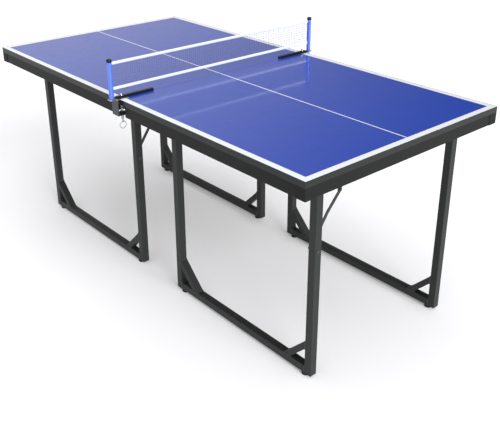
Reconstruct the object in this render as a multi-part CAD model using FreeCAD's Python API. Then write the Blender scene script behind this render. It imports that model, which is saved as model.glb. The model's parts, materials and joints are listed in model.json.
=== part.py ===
import FreeCAD, Part
import math
import os

# A folding table tennis table: two hinged half tops on a steel apron, four fold-in
# leg frames with elbow braces, and a net that is clamped on over the seam.
# Millimetres. X runs along the table, Y across it, Z up; the origin is on the floor
# under the middle of the table. "near" is the -Y long side, "left" the -X half.

vec = FreeCAD.Vector

# ---- driving dimensions -------------------------------------------------------
table_length = 1830.0
table_width = 915.0
table_height = 775.0

panel_thick = 18.0
seam_gap = 1.0
edge_strip_thick = 1.2
edge_strip_height = 20.0

rail_depth = 42.0
rail_thick = 20.0
rail_wall = 1.2
rail_corner = 2.0
seam_notch = 42.0          # the apron rails stop this far from the seam
cap_thick = 1.5
cap_tongue = 12.0
guard_reach = 37.0
panel_edge_round = 0.8

leg_tube = 28.0
leg_wall = 1.2
leg_corner = 2.0
leg_centre_y = 308.0
near_frame_low = 116.5     # the near frames are the inner ones of each nested pair
near_frame_high = 832.5
nest_gap = 3.0             # free space between the near and the far frame's tubes
half_pitch = near_frame_low + near_frame_high
pivot_below_panel = 19.0
leg_above_pivot = 12.0
foot_height = 12.0
foot_radius = 13.5
foot_inboard = 20.0
gusset_thick = 21.0
gusset_reach = 124.0       # upper edge of the gusset, measured up the leg from its foot
plug_thick = 2.0
plug_tongue = 4.0
plug_slack = 0.1           # between a plug or cap and the inside of its tube
foot_cone = 3.0
foot_base_round = 1.5
stem_radius = 4.0
stem_length = 10.0

bracket_thick = 3.0
bracket_gap = 0.4
bracket_width = 40.0
bracket_flange = 22.0
bracket_screw_step = 12.0  # from the middle of a leg bracket to each screw
pivot_radius = 4.0
pivot_head_corner = 7.0
pivot_head_height = 4.5
pivot_tail_radius = 6.0
running_gap = 0.05
head_gap = 0.3             # between a fixed head and what turns beside it
low_head = 1.5             # heads that stand in the gap between nested frames
screw_radius = 2.0
screw_hole_radius = 2.1
screw_depth = 10.0
screw_head_radius = 4.0
screw_head_height = 2.0
screw_head_round = 1.2
screw_slot_width = 1.0
screw_slot_depth = 0.7

brace_on_leg = 268.0       # from the leg pivot down to the lower brace bolt
brace_pin_y = 95.0         # upper brace pin, from the table's middle line
lower_arm_length = 198.7
upper_arm_length = 143.7
arm_width = 11.0
arm_eye_radius = 7.0
arm_thick = 3.0
arm_bend_y = 241.0
arm_bend_up = 97.0         # above the lower brace bolt
lower_arm_out = 2.5        # faces of the two arms, measured out from the leg's face
upper_arm_out = 6.1
brace_plate_out = 9.7
brace_plate_width = 30.0
brace_flange_gap = 0.7
brace_screw_out = 5.0
brace_screw_step = 9.0
brace_pin_radius = 3.0
brace_pin_head_radius = 5.5
brace_pin_head_height = 2.5
brace_bolt_head_radius = 6.5
brace_washer_radius = 7.0
brace_nut_corner = 6.0
brace_nut_height = 4.0
elbow_head_radius = 5.0
elbow_head_height = 2.0

hinge_y = 260.0
hinge_width = 60.0
hinge_leaf_thick = 2.0
hinge_leaf_end = 60.0
hinge_knuckle_radius = 4.5
hinge_pin_radius = 2.0
hinge_knuckle_gap = 0.3
hinge_seam_gap = 0.7       # from the other leaf's knuckles to a leaf's cut-out
hinge_rivet_step = 20.0

clamp_width = 39.0
clamp_plate = 3.0
clamp_back_y = 470.0       # outer face of the clamp's back plate
clamp_mouth_y = 424.0
clamp_drop = 58.0          # lower jaw's underside, below the playing surface
clamp_axis_y = 442.7
clamp_tab_width = 24.0
clamp_tab_beyond_post = 11.0
clamp_tab_corner = 5.0
clamp_boss_radius = 8.0
clamp_boss_height = 7.0
clamp_screw_radius = 4.0
clamp_tip_radius = 3.0
clamp_neck_radius = 2.5
clamp_eye_radius = 4.5
clamp_eye_thick = 3.0
clamp_pad_radius = 10.0
clamp_pad_height = 5.8
clamp_collar_radius = 13.0
clamp_collar_thick = 2.5
clamp_collar_drop = 12.0   # from the pad's underside to the collar's top
clamp_pad_gap = 0.2
clamp_arm_tip_y = 308.0
clamp_arm_width = 13.0
clamp_arm_height = 9.0
clamp_arm_lift = 0.3       # the finger's underside stays this far above the table
clamp_arm_heel = 8.0       # from the finger's outer end to the clamp's back
clamp_arm_round = 1.5
arm_bolt_radius = 3.0
arm_bolt_cap_radius = 4.6
arm_bolt_cap_height = 5.5
arm_bolt_washer_radius = 6.0
arm_bolt_washer_thick = 1.0
ring_radius = 12.9
ring_wire = 1.1
ring_hole = 2.2
ring_drop = 87.0           # eye hole, below the playing surface

post_y = 481.0
post_radius = 8.5
post_wall = 1.2
post_height = 142.0
post_cap_above = 6.0
post_cap_skirt = 5.0
post_cap_wall = 0.8
post_cap_dome = 4.5
post_spigot_height = 20.0
tape_end_gap = 0.2
tape_thick = 2.5
top_tape_height = 10.5
bottom_tape_height = 10.5
top_tape_above = 123.4     # undersides of the tapes, above the playing surface
bottom_tape_above = 34.0
net_thick = 1.0

# ---- places worked out from them ----------------------------------------------
panel_under = table_height - panel_thick
apron_under = panel_under - rail_depth
half_length = table_length / 2
edge_x = half_length - edge_strip_thick
edge_y = table_width / 2 - edge_strip_thick
rail_inner_y = edge_y - rail_thick
end_rail_x = edge_x - rail_thick
pivot_z = panel_under - pivot_below_panel
brace_bolt_z = pivot_z - brace_on_leg
far_frame_low = near_frame_low - nest_gap - leg_tube
far_frame_high = near_frame_high + nest_gap + leg_tube
clamp_under = table_height - clamp_drop
flange_top = table_height + clamp_plate


def block(x0, x1, y0, y1, z0, z1):
    """A box between two corners given in any order."""
    low = vec(min(x0, x1), min(y0, y1), min(z0, z1))
    high = vec(max(x0, x1), max(y0, y1), max(z0, z1))
    size = high - low
    return Part.makeBox(size.x, size.y, size.z, low)


def rod(radius, start, end):
    """A round bar from one point to another."""
    run = end - start
    return Part.makeCylinder(radius, run.Length, start, run)


def joined(pieces):
    """One solid from pieces that touch or overlap."""
    solid = pieces[0].multiFuse(pieces[1:])
    return solid.removeSplitter()


def rounded(solid, radius, axis):
    """The edges of a box that run along the axis, rounded."""
    edges = []
    for edge in solid.Edges:
        along = edge.tangentAt(edge.FirstParameter)
        if abs(along.dot(axis)) > 0.99:
            edges.append(edge)
    return solid.makeFillet(radius, edges)


def tube(corners, axis, wall, corner):
    """A hollow rectangular tube that fills a box, open at both ends."""
    x0, x1, y0, y1, z0, z1 = corners
    inset = vec(wall, wall, wall) - axis * wall
    outer = rounded(block(*corners), corner, axis)
    inner = block(x0 + inset.x, x1 - inset.x, y0 + inset.y, y1 - inset.y, z0 + inset.z, z1 - inset.z)
    return outer.cut(rounded(inner, corner - wall / 2, axis))


def save(name, solids):
    """Write one node, as one solid or as a group of separate solids."""
    shape = solids[0] if len(solids) == 1 else Part.makeCompound(solids)
    shape.exportStep("parts/" + name + ".step")


along_x = vec(1, 0, 0)
along_y = vec(0, 1, 0)
along_z = vec(0, 0, 1)
halves = {"left": -1, "right": 1}
sides = {"near": -1, "far": 1}


# ---- leg brackets, brace brackets and their screws ------------------------------
def frame_legs(side):
    """Low X of each leg of the right half's frame, and the way its bracket faces."""
    if side == "near":
        return [(near_frame_low, 1), (near_frame_high - leg_tube, -1)]
    return [(far_frame_low, -1), (far_frame_high - leg_tube, 1)]


def leg_face(leg_low, way):
    """The X of the leg's face that looks the given way."""
    return leg_low + leg_tube if way > 0 else leg_low


def leg_bracket(leg_low, way, sign):
    """Screw places and solid of the angle that carries one leg's pivot."""
    face = leg_face(leg_low, way) + way * bracket_gap
    y = sign * leg_centre_y
    half = bracket_width / 2
    plate = block(face, face + way * bracket_thick, y - half, y + half, pivot_z - half, panel_under)
    flange = block(
        face, face + way * bracket_flange, y - half, y + half, panel_under - bracket_thick, panel_under)
    hole = rod(
        pivot_radius + running_gap,
        vec(face - way, y, pivot_z), vec(face + way * (bracket_thick + 1), y, pivot_z))
    rounded_plate = rounded_foot(plate, y, half)
    solid = joined([rounded_plate, flange]).cut(hole)
    screw_x = face + way * (bracket_flange + bracket_thick) / 2
    places = [vec(screw_x, y + step, panel_under) for step in (-bracket_screw_step, bracket_screw_step)]
    return solid, places


def rounded_foot(plate, y, half):
    """A hanging plate with its lower corners taken off by arcs."""
    corners = []
    for edge in plate.Edges:
        middle = edge.CenterOfMass
        low = abs(middle.z - plate.BoundBox.ZMin) < 0.01
        if low and abs(abs(middle.y - y) - half) < 0.01:
            corners.append(edge)
    return plate.makeFillet(half * 0.6, corners)


def brace_side(side):
    """Low X of the leg that carries the brace in the right half, and the brace's way out."""
    if side == "near":
        return near_frame_high - leg_tube, -1
    return far_frame_low, -1


def brace_bracket(side, sign):
    """Screw places and solid of the angle that carries the upper brace pin."""
    leg_low, way = brace_side(side)
    face = leg_face(leg_low, way)
    y = sign * brace_pin_y
    half = brace_plate_width / 2
    inner = face + way * brace_plate_out
    outer = inner + way * bracket_thick
    plate = block(inner, outer, y - half, y + half, pivot_z - half, panel_under)
    flange = block(
        face + way * brace_flange_gap, outer, y - half, y + half, panel_under - bracket_thick, panel_under)
    hole = rod(brace_pin_radius + running_gap, vec(inner - way, y, pivot_z), vec(outer + way, y, pivot_z))
    solid = joined([rounded_foot(plate, y, half), flange]).cut(hole)
    screw_x = face + way * brace_screw_out
    places = [vec(screw_x, y + step, panel_under) for step in (-brace_screw_step, brace_screw_step)]
    return solid, places


def screw(place):
    """A pan head screw driven up through a flange into the panel."""
    head_top = place - along_z * bracket_thick
    head = Part.makeCylinder(screw_head_radius, screw_head_height, head_top - along_z * screw_head_height)
    round_edge = [e for e in head.Edges if abs(e.CenterOfMass.z - head.BoundBox.ZMin) < 0.01]
    head = head.makeFillet(screw_head_round, round_edge)
    half = screw_slot_width / 2
    slot = block(
        place.x - screw_head_radius, place.x + screw_head_radius, place.y - half, place.y + half,
        0, head.BoundBox.ZMin + screw_slot_depth)
    shank = rod(screw_radius, head_top - along_z, place + along_z * screw_depth)
    return joined([head, shank]).cut(slot)


def pivot_bolt(leg_low, way, sign):
    """The bolt through one leg bracket and its leg."""
    face = leg_face(leg_low, way)
    far_face = leg_face(leg_low, -way)
    y = sign * leg_centre_y
    plate_out = face + way * (bracket_gap + bracket_thick)
    tail_face = far_face - way * head_gap
    shank = rod(pivot_radius, vec(plate_out, y, pivot_z), vec(tail_face, y, pivot_z))
    head = hexagon(pivot_head_corner, plate_out, plate_out + way * pivot_head_height, y, pivot_z)
    tail = dome(pivot_tail_radius, low_head, tail_face, -way, y, pivot_z)
    return joined([head, shank, tail])


def hexagon(across, x0, x1, y, z):
    """A hexagonal head whose corners are the given distance from its axis."""
    points = []
    for step in range(7):
        turn = math.radians(60 * step + 30)
        points.append(vec(x0, y + across * math.cos(turn), z + across * math.sin(turn)))
    face = Part.Face(Part.makePolygon(points))
    return face.extrude(vec(x1 - x0, 0, 0))


def dome(radius, height, x, way, y, z):
    """A low domed head standing on a face at x."""
    disc = rod(radius, vec(x, y, z), vec(x + way * height, y, z))
    rim = []
    for edge in disc.Edges:
        on_top = abs(edge.CenterOfMass.x - (x + way * height)) < 0.01
        if on_top and abs(edge.Length - 2 * math.pi * radius) < 0.1:
            rim.append(edge)
    return disc.makeFillet(height * 0.6, rim)


def brace_pin(side, sign):
    """The pin that holds the upper arm on its bracket, flush on the lower arm's side."""
    leg_low, way = brace_side(side)
    face = leg_face(leg_low, way)
    y = sign * brace_pin_y
    start = face + way * upper_arm_out
    plate_out = face + way * (brace_plate_out + bracket_thick)
    shank = rod(brace_pin_radius, vec(start, y, pivot_z), vec(plate_out, y, pivot_z))
    head = dome(brace_pin_head_radius, brace_pin_head_height, plate_out, way, y, pivot_z)
    return joined([shank, head])


# ---- table top and apron ----------------------------------------------------------
def panel(way, screw_places):
    """One half of the playing surface, with blind holes for the bracket screws."""
    half = block(way * seam_gap / 2, way * edge_x, -edge_y, edge_y, panel_under, table_height)
    top_edges = [e for e in half.Edges if abs(e.CenterOfMass.z - table_height) < 0.01]
    half = half.makeFillet(panel_edge_round, top_edges)
    holes = []
    for place in screw_places:
        if place.x * way > 0:
            holes.append(rod(screw_hole_radius, place - along_z, place + along_z * (screw_depth + 0.5)))
    return half.cut(Part.makeCompound(holes))


def edge_strips(way):
    """The three black bands around the free edges of one half."""
    low = table_height - edge_strip_height
    outer_y = table_width / 2
    strips = [block(way * edge_x, way * half_length, -outer_y, outer_y, low, table_height)]
    for sign in (-1, 1):
        strips.append(block(
            way * seam_gap / 2, way * edge_x, sign * edge_y, sign * outer_y, low, table_height))
    return strips


def side_rails(way):
    """The two long apron tubes of one half."""
    rails = []
    for sign in (-1, 1):
        x0, x1 = sorted((way * seam_notch, way * end_rail_x))
        y0, y1 = sorted((sign * rail_inner_y, sign * edge_y))
        rails.append(tube((x0, x1, y0, y1, apron_under, panel_under), along_x, rail_wall, rail_corner))
    return rails


def end_rail(way):
    """The apron tube across the free end of one half."""
    x0, x1 = sorted((way * end_rail_x, way * edge_x))
    return tube((x0, x1, -edge_y, edge_y, apron_under, panel_under), along_y, rail_wall, rail_corner)


def middle_rail(way):
    """The tube across one half beside the seam."""
    x0, x1 = sorted((way * seam_notch, way * (seam_notch + rail_thick)))
    corners = (x0, x1, -rail_inner_y, rail_inner_y, apron_under, panel_under)
    return tube(corners, along_y, rail_wall, rail_corner)


def rail_cap(way, sign):
    """The plastic cap in the open end of a side rail at the seam."""
    inset = rail_wall + plug_slack
    plate = block(
        way * (seam_notch - cap_thick), way * seam_notch,
        sign * rail_inner_y, sign * edge_y, apron_under, panel_under)
    plate = rounded(plate, rail_corner, along_x)
    tongue = block(
        way * seam_notch, way * (seam_notch + cap_tongue),
        sign * (rail_inner_y + inset), sign * (edge_y - inset), apron_under + inset, panel_under - inset)
    return joined([plate, rounded(tongue, rail_corner, along_x)])


def corner_guard(way, sign):
    """The angle that wraps one corner of the apron under the edge band."""
    top = table_height - edge_strip_height
    outer_y = table_width / 2
    end = block(
        way * edge_x, way * half_length, sign * (outer_y - guard_reach), sign * outer_y, apron_under, top)
    flank = block(
        way * (half_length - guard_reach), way * half_length, sign * edge_y, sign * outer_y, apron_under, top)
    return joined([end, flank])


# ---- seam hinges ----------------------------------------------------------------
def knuckle_spans(way):
    """Where one leaf's knuckles lie along the hinge: two on the left, one on the right."""
    third = hinge_width / 3
    if way < 0:
        inner = third / 2 + hinge_knuckle_gap
        return [(-hinge_width / 2, -inner), (inner, hinge_width / 2)]
    return [(-third / 2, third / 2)]


def hinge_leaf(way, sign):
    """One leaf of a seam hinge, which lies under a middle rail."""
    y = sign * hinge_y
    half = hinge_width / 2
    axis_z = apron_under - hinge_pin_radius - 1
    low = apron_under - hinge_leaf_thick
    inner = way * (hinge_knuckle_radius + hinge_seam_gap)
    pieces = [block(inner, way * hinge_leaf_end, y - half, y + half, low, apron_under)]
    for start, end in knuckle_spans(way):
        pieces.append(block(0, way * (hinge_knuckle_radius + 1), y + start, y + end, low, apron_under))
        pieces.append(rod(hinge_knuckle_radius, vec(0, y + start, axis_z), vec(0, y + end, axis_z)))
    bore = rod(hinge_pin_radius + running_gap, vec(0, y - half - 1, axis_z), vec(0, y + half + 1, axis_z))
    leaf = joined(pieces).cut(bore)
    for place in hinge_screw_places(way, sign):
        leaf = leaf.cut(rod(screw_hole_radius, place - along_z * (hinge_leaf_thick + 1), place))
    return leaf


def hinge_screw_places(way, sign):
    """Where the two fasteners of a leaf meet the middle rail."""
    x = way * (seam_notch + rail_thick / 2)
    return [vec(x, sign * hinge_y + step, apron_under) for step in (-hinge_rivet_step, hinge_rivet_step)]


def hinge_rivet(place):
    """A domed rivet that holds a hinge leaf to its rail."""
    under = place - along_z * hinge_leaf_thick
    head = Part.makeCylinder(screw_head_radius, screw_head_height, under - along_z * screw_head_height)
    round_edge = [e for e in head.Edges if abs(e.CenterOfMass.z - head.BoundBox.ZMin) < 0.01]
    head = head.makeFillet(screw_head_round, round_edge)
    return joined([head, rod(screw_radius, under - along_z, place)])


def hinge_pin(sign):
    """The pin through the knuckles of one seam hinge."""
    y = sign * hinge_y
    half = hinge_width / 2
    axis_z = apron_under - hinge_pin_radius - 1
    return rod(hinge_pin_radius, vec(0, y - half - 1, axis_z), vec(0, y + half + 1, axis_z))


# ---- leg frames -----------------------------------------------------------------
def leg(leg_low, sign, bores):
    """One upright tube of a leg frame, with its cross bores."""
    y0, y1 = sorted((sign * (leg_centre_y - leg_tube / 2), sign * (leg_centre_y + leg_tube / 2)))
    bottom = foot_height + plug_thick
    top = pivot_z + leg_above_pivot - plug_thick
    upright = tube((leg_low, leg_low + leg_tube, y0, y1, bottom, top), along_z, leg_wall, leg_corner)
    for radius, z in bores:
        start = vec(leg_low - 1, sign * leg_centre_y, z)
        upright = upright.cut(rod(radius, start, start + along_x * (leg_tube + 2)))
    return upright


def floor_rail(low, high, sign):
    """The tube along the floor between two legs, with holes for the feet's stems."""
    y0, y1 = sorted((sign * (leg_centre_y - leg_tube / 2), sign * (leg_centre_y + leg_tube / 2)))
    corners = (low + leg_tube, high - leg_tube, y0, y1, foot_height, foot_height + leg_tube)
    rail = tube(corners, along_x, leg_wall, leg_corner)
    for x in foot_places(low, high):
        base = vec(x, sign * leg_centre_y, 0)
        rail = rail.cut(rod(stem_radius + plug_slack, base, base + along_z * (foot_height + leg_wall + 1)))
    return rail


def foot_places(low, high):
    """The X of a frame's two feet."""
    inboard = leg_tube / 2 + foot_inboard
    return [low + inboard, high - inboard]


def foot(x, sign):
    """A round glide with a stem that is pushed up into the floor rail."""
    base = vec(x, sign * leg_centre_y, 0)
    shoulder = foot_height - foot_cone
    disc = Part.makeCylinder(foot_radius, shoulder, base)
    disc = disc.makeFillet(foot_base_round, [e for e in disc.Edges if e.CenterOfMass.z < 0.01])
    cone = Part.makeCone(foot_radius, foot_radius - 2, foot_cone, base + along_z * shoulder)
    stem_low = base + along_z * (foot_height - 1)
    stem = rod(stem_radius, stem_low, stem_low + along_z * stem_length)
    return joined([disc, cone, stem])


def plug(leg_low, sign, way):
    """The plastic plug in the top (way 1) or bottom (way -1) end of a leg."""
    outer = pivot_z + leg_above_pivot if way > 0 else foot_height
    inset = leg_wall + plug_slack
    y0, y1 = sorted((sign * (leg_centre_y - leg_tube / 2), sign * (leg_centre_y + leg_tube / 2)))
    plate = block(leg_low, leg_low + leg_tube, y0, y1, outer, outer - way * plug_thick)
    plate = rounded(plate, leg_corner, along_z)
    tongue = block(
        leg_low + inset, leg_low + leg_tube - inset, y0 + inset, y1 - inset,
        outer - way * plug_thick, outer - way * (plug_thick + plug_tongue))
    return joined([plate, rounded(tongue, leg_corner, along_z)])


def gusset(corner_x, way, sign):
    """A 45 degree brace tube between the foot of a leg and the floor rail."""
    y0 = sign * leg_centre_y - leg_tube / 2
    slant = gusset_thick * math.sqrt(2)
    rail_top = leg_tube

    def slope(near_reach, far_reach, low_y, high_y):
        outline = [
            (0, near_reach), (0, far_reach),
            (far_reach - rail_top, rail_top), (near_reach - rail_top, rail_top)]
        points = [vec(corner_x + way * x, low_y, foot_height + z) for x, z in outline]
        face = Part.Face(Part.makePolygon(points + points[:1]))
        return face.extrude(along_y * (high_y - low_y))

    wall = leg_wall * math.sqrt(2)
    outer = slope(gusset_reach, gusset_reach - slant, y0, y0 + leg_tube)
    inner = slope(gusset_reach - wall, gusset_reach - slant + wall, y0 + leg_wall, y0 + leg_tube - leg_wall)
    return outer.cut(inner)


# ---- braces -----------------------------------------------------------------------
def elbow():
    """Where the two arms meet: distance from the table's middle line, and height."""
    run_y = brace_pin_y - leg_centre_y
    run_z = pivot_z - brace_bolt_z
    reach = math.hypot(run_y, run_z)
    along = (lower_arm_length ** 2 - upper_arm_length ** 2 + reach ** 2) / (2 * reach)
    off = math.sqrt(lower_arm_length ** 2 - along ** 2)
    unit_y, unit_z = run_y / reach, run_z / reach
    return leg_centre_y + unit_y * along + unit_z * off, brace_bolt_z + unit_z * along - unit_y * off


def bar(start, end, x0, x1, width):
    """A flat bar between two (y, z) points, standing between two X planes."""
    run_y, run_z = end[0] - start[0], end[1] - start[1]
    length = math.hypot(run_y, run_z)
    off_y, off_z = -run_z / length * width / 2, run_y / length * width / 2
    outline = [
        vec(x0, start[0] + off_y, start[1] + off_z), vec(x0, end[0] + off_y, end[1] + off_z),
        vec(x0, end[0] - off_y, end[1] - off_z), vec(x0, start[0] - off_y, start[1] - off_z)]
    face = Part.Face(Part.makePolygon(outline + outline[:1]))
    return face.extrude(vec(x1 - x0, 0, 0))


def eye(radius, point, x0, x1):
    """A round end of a bar."""
    return rod(radius, vec(x0, point[0], point[1]), vec(x1, point[0], point[1]))


def lower_arm(leg_low, way, sign):
    """The bent lower arm with its half of the elbow rivet."""
    face = leg_face(leg_low, way)
    x0 = face + way * lower_arm_out
    x1 = x0 + way * arm_thick
    elbow_y, elbow_z = elbow()
    foot_end = (sign * leg_centre_y, brace_bolt_z)
    bend = (sign * arm_bend_y, brace_bolt_z + arm_bend_up)
    top_end = (sign * elbow_y, elbow_z)
    arm = joined([
        bar(foot_end, bend, x0, x1, arm_width), bar(bend, top_end, x0, x1, arm_width),
        eye(arm_width / 2, bend, x0, x1),
        eye(arm_eye_radius, foot_end, x0, x1), eye(arm_eye_radius, top_end, x0, x1)])
    arm = arm.cut(eye(brace_pin_radius + running_gap, foot_end, x0 - way, x1 + way))
    return joined([arm, dome(elbow_head_radius, low_head, x0, -way, *top_end)])


def upper_arm(leg_low, way, sign):
    """The straight upper arm with its half of the elbow rivet."""
    face = leg_face(leg_low, way)
    x0 = face + way * upper_arm_out
    x1 = x0 + way * arm_thick
    elbow_y, elbow_z = elbow()
    top_end = (sign * brace_pin_y, pivot_z)
    low_end = (sign * elbow_y, elbow_z)
    arm = joined([
        bar(low_end, top_end, x0, x1, arm_width),
        eye(arm_eye_radius, low_end, x0, x1), eye(arm_eye_radius, top_end, x0, x1)])
    arm = arm.cut(eye(brace_pin_radius + running_gap, top_end, x0 - way, x1 + way))
    return joined([arm, dome(elbow_head_radius, elbow_head_height, x1, way, *low_end)])


def brace_bolt(leg_low, way, sign):
    """The bolt, washer and nut that hold the lower arm on its leg."""
    face = leg_face(leg_low, way)
    far_face = leg_face(leg_low, -way)
    y, z = sign * leg_centre_y, brace_bolt_z
    arm_out = face + way * (lower_arm_out + arm_thick + head_gap)
    end = arm_out + way * (brace_nut_height + 1)
    shank = rod(brace_pin_radius, vec(far_face - way * 0.5, y, z), vec(end, y, z))
    head = dome(brace_bolt_head_radius, low_head, far_face, -way, y, z)
    washer = rod(brace_washer_radius, vec(face, y, z), vec(face + way * (lower_arm_out - head_gap), y, z))
    nut = hexagon(brace_nut_corner, arm_out, arm_out + way * brace_nut_height, y, z)
    return joined([shank, head, washer, nut])


def leg_frame(side, sign, shift, name):
    """Every node of one leg frame and its brace."""
    offset = along_x * shift
    low, high = near_frame_low, near_frame_high
    if side == "far":
        low, high = far_frame_low, far_frame_high
    brace_low, way = brace_side(side)
    pivot_bore = (pivot_radius + running_gap, pivot_z)
    brace_bore = (brace_pin_radius + running_gap, brace_bolt_z)
    legs, plastic = [], [foot(x, sign) for x in foot_places(low, high)]
    for leg_low, _ in frame_legs(side):
        bores = [pivot_bore, brace_bore] if leg_low == brace_low else [pivot_bore]
        legs.append(leg(leg_low, sign, bores))
        plastic += [plug(leg_low, sign, 1), plug(leg_low, sign, -1)]
    gussets = [gusset(low + leg_tube, 1, sign), gusset(high - leg_tube, -1, sign)]
    nodes = {
        "legs": legs,
        "floor_rail": [floor_rail(low, high, sign)],
        "gussets": gussets,
        "feet_and_plugs": plastic,
        "brace_bolt": [brace_bolt(brace_low, way, sign)],
        "lower_arm": [lower_arm(brace_low, way, sign)],
        "upper_arm": [upper_arm(brace_low, way, sign)],
    }
    for part_name, solids in nodes.items():
        save(name + "_" + part_name, [solid.translated(offset) for solid in solids])


# ---- net and its clamps -----------------------------------------------------------
def clamp_body(sign):
    """The bent steel clamp that grips the table edge over the seam and carries a post."""
    half = clamp_width / 2
    inner = clamp_back_y - clamp_plate
    tab_half = clamp_tab_width / 2
    tab_end = post_y + clamp_tab_beyond_post
    jaw_top = clamp_under + clamp_plate
    top = block(-half, half, sign * clamp_mouth_y, sign * clamp_back_y, table_height, flange_top)
    tab = block(-tab_half, tab_half, sign * inner, sign * tab_end, table_height, flange_top)
    back = block(-half, half, sign * inner, sign * clamp_back_y, clamp_under, flange_top)
    jaw = block(-half, half, sign * clamp_mouth_y, sign * clamp_back_y, clamp_under, jaw_top)
    axis = vec(0, sign * clamp_axis_y, 0)
    boss_top = jaw_top + clamp_boss_height
    boss = rod(clamp_boss_radius, axis + along_z * clamp_under, axis + along_z * boss_top)
    post_foot = vec(0, sign * post_y, table_height)
    spigot_radius = post_radius - post_wall - plug_slack
    spigot = rod(spigot_radius, post_foot, post_foot + along_z * (clamp_plate + post_spigot_height))
    body = joined([top, rounded(tab, clamp_tab_corner, along_z), back, jaw, boss, spigot])
    body = body.cut(rod(clamp_screw_radius + running_gap, axis, axis + along_z * (boss_top + 1)))
    bolt_hole = arm_bolt_hole()
    return body.cut(rod(bolt_hole, axis + along_z * (table_height - 1), axis + along_z * (flange_top + 1)))


def arm_bolt_hole():
    """Radius of the hole for the finger's bolt, in the clamp and in the finger."""
    return arm_bolt_radius + 0.1


def clamp_arm(sign):
    """The long plastic finger that lies on the table and guides the net's foot."""
    half = clamp_arm_width / 2
    top = table_height + clamp_arm_height
    tip_y = clamp_arm_tip_y + half
    low = table_height + clamp_arm_lift
    step_y = clamp_mouth_y - 0.2
    heel_y = clamp_back_y - clamp_arm_heel
    finger = block(-half, half, sign * tip_y, sign * step_y, low, top)
    tip = Part.makeCylinder(half, top - low, vec(0, sign * tip_y, low))
    step = block(-half, half, sign * step_y, sign * heel_y, flange_top + running_gap, top)
    arm = joined([finger, tip, step])
    arm = arm.makeFillet(clamp_arm_round, [e for e in arm.Edges if abs(e.CenterOfMass.z - top) < 0.01])
    axis = vec(0, sign * clamp_axis_y, 0)
    return arm.cut(rod(arm_bolt_hole(), axis + along_z * low, axis + along_z * (top + 1)))


def clamp_bolt(sign):
    """The bolt that holds the finger on the clamp."""
    axis = vec(0, sign * clamp_axis_y, 0)
    head_low = table_height + clamp_arm_height
    washer_top = head_low + arm_bolt_washer_thick
    shank = rod(arm_bolt_radius, axis + along_z * (table_height + 0.1), axis + along_z * washer_top)
    washer = rod(arm_bolt_washer_radius, axis + along_z * head_low, axis + along_z * washer_top)
    cap = Part.makeCylinder(arm_bolt_cap_radius, arm_bolt_cap_height, axis + along_z * washer_top)
    rim = [e for e in cap.Edges if abs(e.CenterOfMass.z - cap.BoundBox.ZMax) < 0.01]
    cap = cap.makeFillet(arm_bolt_cap_height * 0.45, rim)
    return joined([shank, washer, cap])


def clamp_pad(sign):
    """The pad that the screw presses up against the panel."""
    axis = vec(0, sign * clamp_axis_y, 0)
    top = panel_under - clamp_pad_gap
    low = top - clamp_pad_height
    pad = Part.makeCylinder(clamp_pad_radius, clamp_pad_height, axis + along_z * low)
    pad = pad.makeFillet(screw_head_round, [e for e in pad.Edges if abs(e.CenterOfMass.z - low) < 0.01])
    socket = rod(clamp_tip_radius + running_gap, axis + along_z * (low - 1), axis + along_z * (top - 2))
    return pad.cut(socket)


def clamp_screw(sign):
    """The clamp's screw with its collar, its swivel tip and the eye for the pull ring."""
    axis = vec(0, sign * clamp_axis_y, 0)
    eye_z = table_height - ring_drop
    pad_low = panel_under - clamp_pad_gap - clamp_pad_height
    collar_top = pad_low - clamp_collar_drop
    shank_low = eye_z + clamp_eye_radius + clamp_neck_radius
    shank = rod(clamp_screw_radius, axis + along_z * shank_low, axis + along_z * (pad_low - head_gap))
    tip_top = pad_low + clamp_pad_height - 2.5
    tip = rod(clamp_tip_radius, axis + along_z * (pad_low - 1), axis + along_z * tip_top)
    collar = rod(
        clamp_collar_radius, axis + along_z * (collar_top - clamp_collar_thick), axis + along_z * collar_top)
    neck = rod(clamp_neck_radius, axis + along_z * (eye_z + 3.2), axis + along_z * (shank_low + 1))
    centre = axis + along_z * eye_z
    half = clamp_eye_thick / 2
    disc = rod(clamp_eye_radius, centre - along_y * half, centre + along_y * half)
    screw_solid = joined([shank, tip, collar, neck, disc])
    return screw_solid.cut(rod(ring_hole, centre - along_y * 4, centre + along_y * 4))


def pull_ring(sign):
    """The wire ring that hangs in the clamp screw's eye."""
    centre = vec(0, sign * clamp_axis_y, table_height - ring_drop - ring_radius)
    return Part.makeTorus(ring_radius, ring_wire, centre, along_x)


def net_post(sign):
    """The tube that holds up one end of the net."""
    foot_point = vec(0, sign * post_y, flange_top)
    outer = Part.makeCylinder(post_radius, post_height - post_cap_above, foot_point)
    return outer.cut(Part.makeCylinder(post_radius - post_wall, post_height, foot_point))


def post_cap(sign):
    """The domed plastic cap on one post."""
    seat = vec(0, sign * post_y, flange_top + post_height - post_cap_above)
    skirt = seat - along_z * post_cap_skirt
    cap = Part.makeCylinder(post_radius + post_cap_wall, post_cap_skirt + post_cap_above, skirt)
    rim = [e for e in cap.Edges if abs(e.CenterOfMass.z - cap.BoundBox.ZMax) < 0.01]
    cap = cap.makeFillet(post_cap_dome, rim)
    return cap.cut(Part.makeCylinder(post_radius + running_gap, post_cap_skirt, skirt))


def net_band(above, height, thick):
    """A flat band of the net between the posts."""
    reach = post_y - post_radius - tape_end_gap
    low = table_height + above
    return block(-thick / 2, thick / 2, -reach, reach, low, low + height)


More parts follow.
